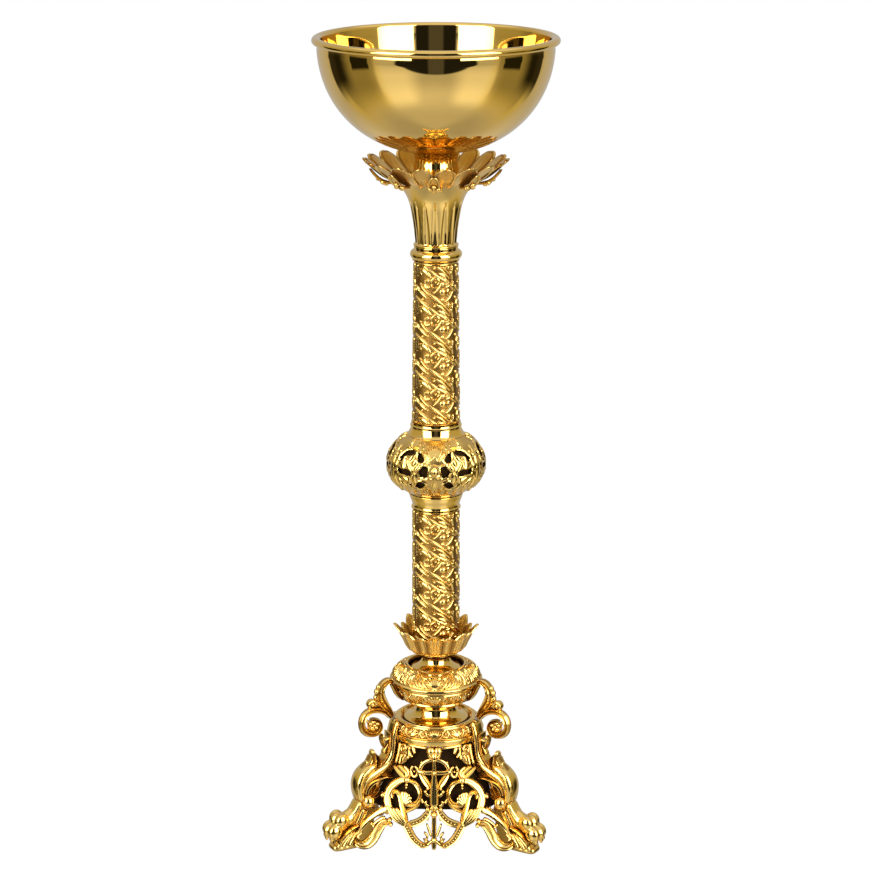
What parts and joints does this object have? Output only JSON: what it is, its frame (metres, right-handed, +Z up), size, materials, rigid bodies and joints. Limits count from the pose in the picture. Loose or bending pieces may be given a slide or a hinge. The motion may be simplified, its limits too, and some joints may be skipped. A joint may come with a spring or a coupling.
{
  "type": "holy water stoup",
  "caption": "Standing holy water stoup in polished brass: a deep round bowl that lifts out of a petal cup, on a stem with relief columns and a pierced knop, on a tripod base with lion-paw feet",
  "frame": {"origin": "On the floor, on the axis of the stem", "axes": "+Z up along the stem, -Y towards the front panel and the viewer, +X to the viewer's right"},
  "size_m": [0.3044, 0.3127, 1.0402],
  "materials": {
    "polished_brass": "mirror polished",
    "cast_brass": "polished casting with darkened recesses",
    "steel": "plain",
    "dark_brass": "browned sheet, unpolished",
    "rubber": "matt"
  },
  "bodies": {
    "stand": {"bowl_socket": "steel", "petal_cup": "cast_brass", "small_leaf_cup": "cast_brass", "trumpet_neck": "polished_brass", "column_ring": "polished_brass", "upper_column": "cast_brass", "knop_upper_collar": "polished_brass", "pierced_knop": "cast_brass", "knop_sleeve": "steel", "knop_lower_collar": "polished_brass", "lower_column": "cast_brass", "leaf_calyx": "cast_brass", "calyx_neck": "polished_brass", "leaf_knop": "cast_brass", "base_neck": "polished_brass", "leaf_band": "cast_brass", "base_ring": "polished_brass", "clamp_plate": "steel", "base_lining": "dark_brass", "tie_rod": "steel", "top_washer": "steel", "top_nut": "steel", "bottom_washer": "steel", "bottom_nut": "steel", "leg_left": "cast_brass", "leg_screw_left": "steel", "scroll_bracket_left": "cast_brass", "bracket_pin_left": "steel", "leg_right": "cast_brass", "leg_screw_right": "steel", "scroll_bracket_right": "cast_brass", "bracket_pin_right": "steel", "leg_back": "cast_brass", "leg_screw_back": "steel", "scroll_bracket_back": "cast_brass", "bracket_pin_back": "steel", "panel_front": "cast_brass", "panel_right": "cast_brass", "panel_left": "cast_brass"},
    "bowl": {"bowl": "polished_brass", "bowl_collar": "polished_brass", "bowl_spigot": "polished_brass", "bowl_screw": "polished_brass", "bowl_inner_seal": "rubber", "bowl_under_seal": "rubber"}
  },
  "joints": [
    {"name": "bowl_lift", "type": "slide", "parent": "stand", "child": "bowl", "axis": [0, 0, 1], "range_m": [0, 0.04]}
  ]
}
